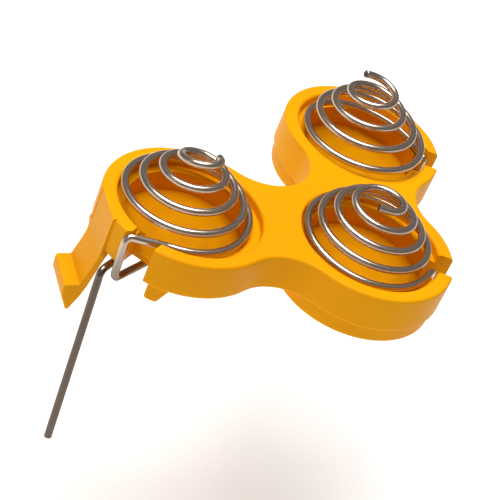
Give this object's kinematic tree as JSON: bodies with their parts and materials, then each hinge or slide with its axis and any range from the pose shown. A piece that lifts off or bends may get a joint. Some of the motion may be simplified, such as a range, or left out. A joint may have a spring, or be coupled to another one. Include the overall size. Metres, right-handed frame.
{
  "type": "battery contact carrier",
  "caption": "Moulded three-lobed battery contact carrier with conical wire contact springs, a snap arm and a long wire lead.",
  "frame": {"origin": "on the corner lobe's axis, in the plane of the plate's underside", "axes": "+Z along the springs towards the cells, +Y from the corner lobe to the far lobe of the double spring"},
  "size_m": [0.0322, 0.0346, 0.0254],
  "materials": {
    "plastic": "satin amber moulding",
    "wire": "nickel-plated spring wire, polished"
  },
  "bodies": {
    "carrier_body": {"carrier": "plastic", "pair_spring_base": "wire", "lead_spring_base": "wire", "corner_coils": "wire", "far_coils": "wire", "lead_coils": "wire"},
    "arm": {"snap_arm": "plastic"},
    "corner_top": {"corner_tip": "wire"},
    "far_top": {"far_tip": "wire"},
    "lead_top": {"lead_tip": "wire"}
  },
  "joints": [
    {"name": "snap_arm_flex", "type": "hinge", "parent": "carrier_body", "child": "arm", "pos_m": [-0.02212, -0.00397, -0.00006], "axis": [0.2924, -0.9563, 0], "range_deg": [0, 10], "stiffness_Nm_per_rad": 0.3},
    {"name": "corner_spring_press", "type": "slide", "parent": "carrier_body", "child": "corner_top", "axis": [0, 0, -1], "range_m": [0, 0.0034], "stiffness_N_per_m": 500, "deforming": ["corner_coils"]},
    {"name": "far_spring_press", "type": "slide", "parent": "carrier_body", "child": "far_top", "axis": [0, 0, -1], "range_m": [0, 0.0043], "stiffness_N_per_m": 500, "deforming": ["far_coils"]},
    {"name": "lead_spring_press", "type": "slide", "parent": "carrier_body", "child": "lead_top", "axis": [0, 0, -1], "range_m": [0, 0.0042], "stiffness_N_per_m": 500, "deforming": ["lead_coils"]}
  ]
}
